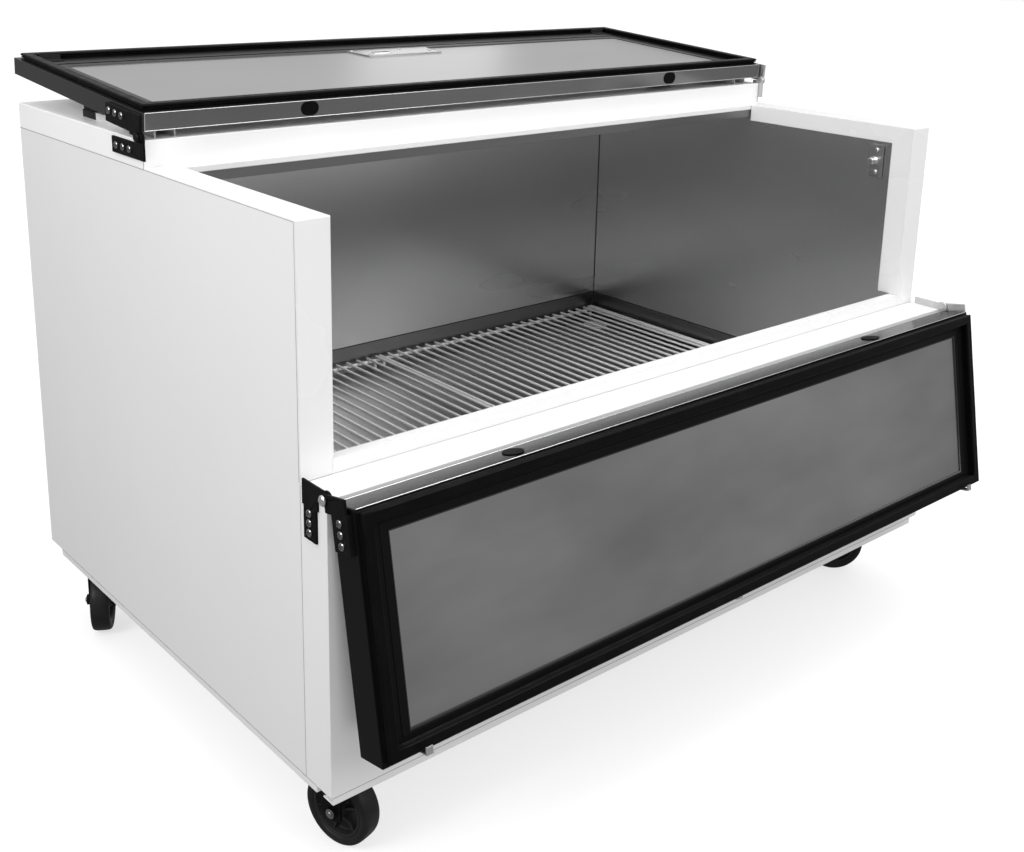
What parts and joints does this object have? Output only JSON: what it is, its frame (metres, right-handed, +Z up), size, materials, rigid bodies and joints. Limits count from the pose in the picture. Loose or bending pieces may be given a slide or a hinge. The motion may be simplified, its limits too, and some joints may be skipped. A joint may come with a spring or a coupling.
{
  "type": "milk cooler",
  "caption": "Chest refrigerator on casters with a flip-back lid and a drop-down front door, both open, over a steel-lined well with wire floor racks.",
  "frame": {"origin": "on the floor under the middle of the object as shown, lid folded back and door hanging open", "axes": "+Z up, -Y the front with the drop-down door, +X to the right seen from the front"},
  "size_m": [1.267, 0.985, 0.9343],
  "materials": {
    "white_paint": "smooth white enamel, satin",
    "white_breaker": "white moulded frame, semi-gloss",
    "galvanised": "grey coated sheet",
    "liner_steel": "brushed stainless sheet",
    "polished_rail": "bright stainless sheet",
    "outer_steel": "brushed stainless sheet",
    "insulation": "foamed-in-place insulation",
    "copper": "copper tube",
    "small_steel": "small stainless fittings",
    "key_plug": "bright key plug",
    "screws": "bright screw heads",
    "pins": "steel pins",
    "leaf_paint": "black coated hinge leaf",
    "black_frame": "black moulded frame",
    "gasket": "soft black gasket",
    "plug_plastic": "black plastic plug",
    "rest_block": "grey rail with rubber block",
    "drain_plastic": "pale plastic drain",
    "gland_plastic": "black plastic",
    "compressor_paint": "black enamel",
    "condenser_metal": "finned block",
    "motor_paint": "dark enamel",
    "fan_metal": "pressed blades",
    "rack_coat": "white coated wire",
    "caster_plate": "black steel plate",
    "fork_black": "black steel fork",
    "wheel_rubber": "black wheel"
  },
  "bodies": {
    "cabinet": {"side_panel_left": "white_paint", "side_panel_right": "white_paint", "front_panel": "white_paint", "back_panel": "galvanised", "rear_grille": "galvanised", "rear_cap": "white_paint", "base_frame": "white_paint", "breaker_sides": "white_breaker", "breaker_cross": "white_breaker", "liner_sides": "liner_steel", "liner_back": "liner_steel", "liner_ceiling": "liner_steel", "floor_pan": "liner_steel", "floor_drain": "drain_plastic", "cabinet_foam": "insulation", "evaporator_coil": "copper", "strike_plates": "small_steel", "lid_rest": "rest_block", "hinge_bases": "leaf_paint", "hinge_pins": "pins", "cabinet_screws": "screws", "compressor": "compressor_paint", "condenser": "condenser_metal", "fan_motor": "motor_paint", "refrigerant_lines": "copper", "cord_gland": "gland_plastic", "caster_plates": "caster_plate"},
    "lid": {"lid_skin": "outer_steel", "lid_frame": "black_frame", "lid_rail": "polished_rail", "lid_panel": "liner_steel", "lid_foam": "insulation", "lid_gasket": "gasket", "lid_plugs": "plug_plastic", "lid_plates": "small_steel", "lid_leaves": "leaf_paint", "lid_screws": "screws"},
    "door": {"door_skin": "outer_steel", "door_frame": "black_frame", "door_rail": "polished_rail", "door_panel": "liner_steel", "door_foam": "insulation", "door_gasket": "gasket", "door_plugs": "plug_plastic", "door_hooks": "small_steel", "door_leaves": "leaf_paint", "door_screws": "screws", "door_lock": "small_steel"},
    "lock": {"lock_cam": "key_plug"},
    "fan": {"fan_blades": "fan_metal"},
    "rack_left": {"rack_left": "rack_coat"},
    "rack_right": {"rack_right": "rack_coat"},
    "caster_fl": {"caster_fork_fl": "fork_black"},
    "wheel_fl": {"caster_wheel_fl": "wheel_rubber"},
    "caster_fr": {"caster_fork_fr": "fork_black"},
    "wheel_fr": {"caster_wheel_fr": "wheel_rubber"},
    "caster_rl": {"caster_fork_rl": "fork_black"},
    "wheel_rl": {"caster_wheel_rl": "wheel_rubber"},
    "caster_rr": {"caster_fork_rr": "fork_black"},
    "wheel_rr": {"caster_wheel_rr": "wheel_rubber"}
  },
  "joints": [
    {"name": "lid_hinge", "type": "hinge", "parent": "cabinet", "child": "lid", "pos_m": [0, 0.05613, 0.863], "axis": [1, 0, 0], "range_deg": [0, 175.8]},
    {"name": "door_hinge", "type": "hinge", "parent": "cabinet", "child": "door", "pos_m": [0, -0.37187, 0.5164], "axis": [-1, 0, 0], "range_deg": [0, 169.7]},
    {"name": "lock_turn", "type": "hinge", "parent": "door", "child": "lock", "pos_m": [0, -0.45978, 0.22279], "axis": [0, -0.1788, -0.9839], "range_deg": [0, 90]},
    {"name": "caster_fl_swivel", "type": "hinge", "parent": "cabinet", "child": "caster_fl", "pos_m": [-0.5705, -0.27187, 0.109], "axis": [0, 0, 1], "continuous": true},
    {"name": "caster_fl_roll", "type": "hinge", "parent": "caster_fl", "child": "wheel_fl", "pos_m": [-0.56273, -0.30084, 0.051], "axis": [0.9659, 0.2588, 0], "continuous": true},
    {"name": "caster_fr_swivel", "type": "hinge", "parent": "cabinet", "child": "caster_fr", "pos_m": [0.5705, -0.27187, 0.109], "axis": [0, 0, 1], "continuous": true},
    {"name": "caster_fr_roll", "type": "hinge", "parent": "caster_fr", "child": "wheel_fr", "pos_m": [0.54929, -0.25065, 0.051], "axis": [-0.7071, -0.7071, 0], "continuous": true},
    {"name": "caster_rl_swivel", "type": "hinge", "parent": "cabinet", "child": "caster_rl", "pos_m": [-0.5705, 0.40213, 0.109], "axis": [0, 0, 1], "continuous": true},
    {"name": "caster_rl_roll", "type": "hinge", "parent": "caster_rl", "child": "wheel_rl", "pos_m": [-0.5855, 0.37615, 0.051], "axis": [0.866, -0.5, 0], "continuous": true},
    {"name": "caster_rr_swivel", "type": "hinge", "parent": "cabinet", "child": "caster_rr", "pos_m": [0.5705, 0.40213, 0.109], "axis": [0, 0, 1], "continuous": true},
    {"name": "caster_rr_roll", "type": "hinge", "parent": "caster_rr", "child": "wheel_rr", "pos_m": [0.58076, 0.43033, 0.051], "axis": [-0.9397, 0.342, 0], "continuous": true},
    {"name": "fan_spin", "type": "hinge", "parent": "cabinet", "child": "fan", "pos_m": [0.22, 0.39613, 0.196], "axis": [0, 1, 0], "continuous": true},
    {"name": "rack_left_lift", "type": "slide", "parent": "cabinet", "child": "rack_left", "axis": [0, 0, 1], "range_m": [0, 0.3]},
    {"name": "rack_right_lift", "type": "slide", "parent": "cabinet", "child": "rack_right", "axis": [0, 0, 1], "range_m": [0, 0.3]}
  ]
}
